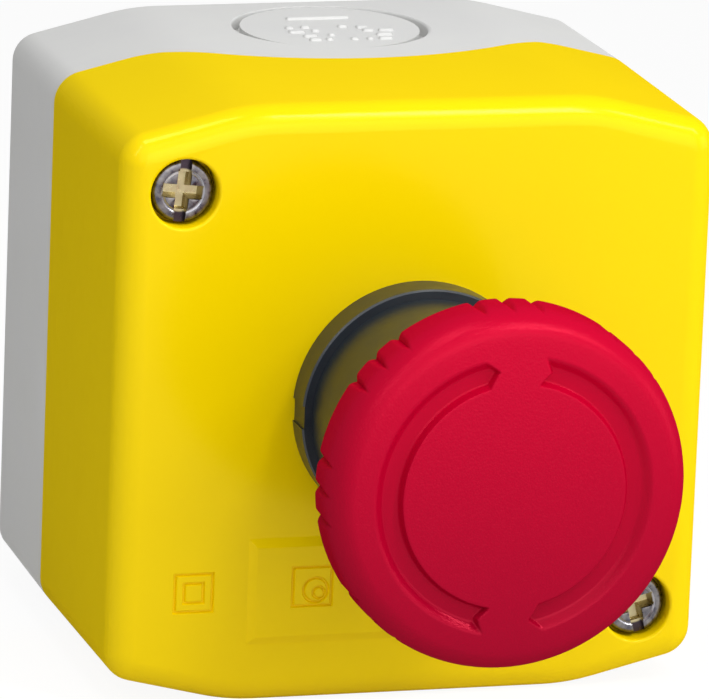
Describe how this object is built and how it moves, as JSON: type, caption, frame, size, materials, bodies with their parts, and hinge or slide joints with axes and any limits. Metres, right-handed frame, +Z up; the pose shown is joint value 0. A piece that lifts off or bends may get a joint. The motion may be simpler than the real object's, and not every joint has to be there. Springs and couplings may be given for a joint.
{
  "type": "emergency stop control station",
  "caption": "Wall-mounted emergency stop station: yellow and grey moulded box, dark bezel and red mushroom head, pushed to stop and turned to release.",
  "frame": {"origin": "centre of the back face, on the wall", "axes": "+Y into the wall, -Y towards the user, +Z up, +X to the user's right"},
  "size_m": [0.068, 0.091, 0.068],
  "materials": {
    "grey_plastic": "fine moulded texture",
    "yellow_plastic": "satin gloss moulding",
    "red_plastic": "fine satin grain",
    "dark_plastic": "matt moulding",
    "natural_plastic": "natural nylon",
    "rubber": "soft seal",
    "plated_steel": "bright zinc",
    "spring_steel": "drawn wire",
    "copper": "stamped copper alloy"
  },
  "bodies": {
    "station": {"back_box": "grey_plastic", "front_cover": "yellow_plastic", "cover_seal": "rubber", "cover_screws": "plated_steel", "bezel": "dark_plastic", "bezel_seal": "rubber", "fixing_nut": "dark_plastic", "stem_seal": "rubber", "return_spring": "spring_steel", "pawl_guide": "dark_plastic", "pawl_spring": "spring_steel", "retainer_ring": "dark_plastic", "contact_housing": "dark_plastic", "contact_cap": "dark_plastic", "plunger_spring": "spring_steel", "fixed_contact_upper": "copper", "fixed_contact_lower": "copper", "terminal_screws": "plated_steel", "terminal_clamps": "plated_steel", "block_screws": "plated_steel"},
    "push_rod": {"stem": "natural_plastic"},
    "head": {"mushroom_head": "red_plastic", "release_cam": "natural_plastic"},
    "contact_carrier": {"contact_plunger": "natural_plastic", "bridge_contact": "copper", "bridge_spring": "spring_steel"},
    "pawl_right": {"latch_pawl_right": "plated_steel"},
    "pawl_left": {"latch_pawl_left": "plated_steel"}
  },
  "joints": [
    {"name": "head_push", "type": "slide", "parent": "station", "child": "push_rod", "axis": [0, 1, 0], "range_m": [0, 0.005], "stiffness_N_per_m": 1240, "springref_m": -0.016, "deforming": ["return_spring"]},
    {"name": "head_twist", "type": "hinge", "parent": "push_rod", "child": "head", "pos_m": [0, -0.087, 0], "axis": [0, 1, 0], "range_deg": [0, 45], "stiffness_Nm_per_rad": 0.05, "springref_deg": -17.19},
    {"name": "contact_slide", "type": "slide", "parent": "station", "child": "contact_carrier", "axis": [0, 1, 0], "range_m": [0, 0.005], "deforming": ["plunger_spring"]},
    {"name": "pawl_right_slide", "type": "slide", "parent": "station", "child": "pawl_right", "axis": [1, 0, 0], "range_m": [0, 0.0008], "deforming": ["pawl_spring"]},
    {"name": "pawl_left_slide", "type": "slide", "parent": "station", "child": "pawl_left", "axis": [-1, 0, 0], "range_m": [0, 0.0008]}
  ],
  "couplings": [
    {"joint": "contact_slide", "follows": "head_push", "ratio": 1},
    {"joint": "pawl_right_slide", "follows": "head_twist", "m_per_rad": 0.0010185},
    {"joint": "pawl_left_slide", "follows": "head_twist", "m_per_rad": 0.0010185}
  ]
}
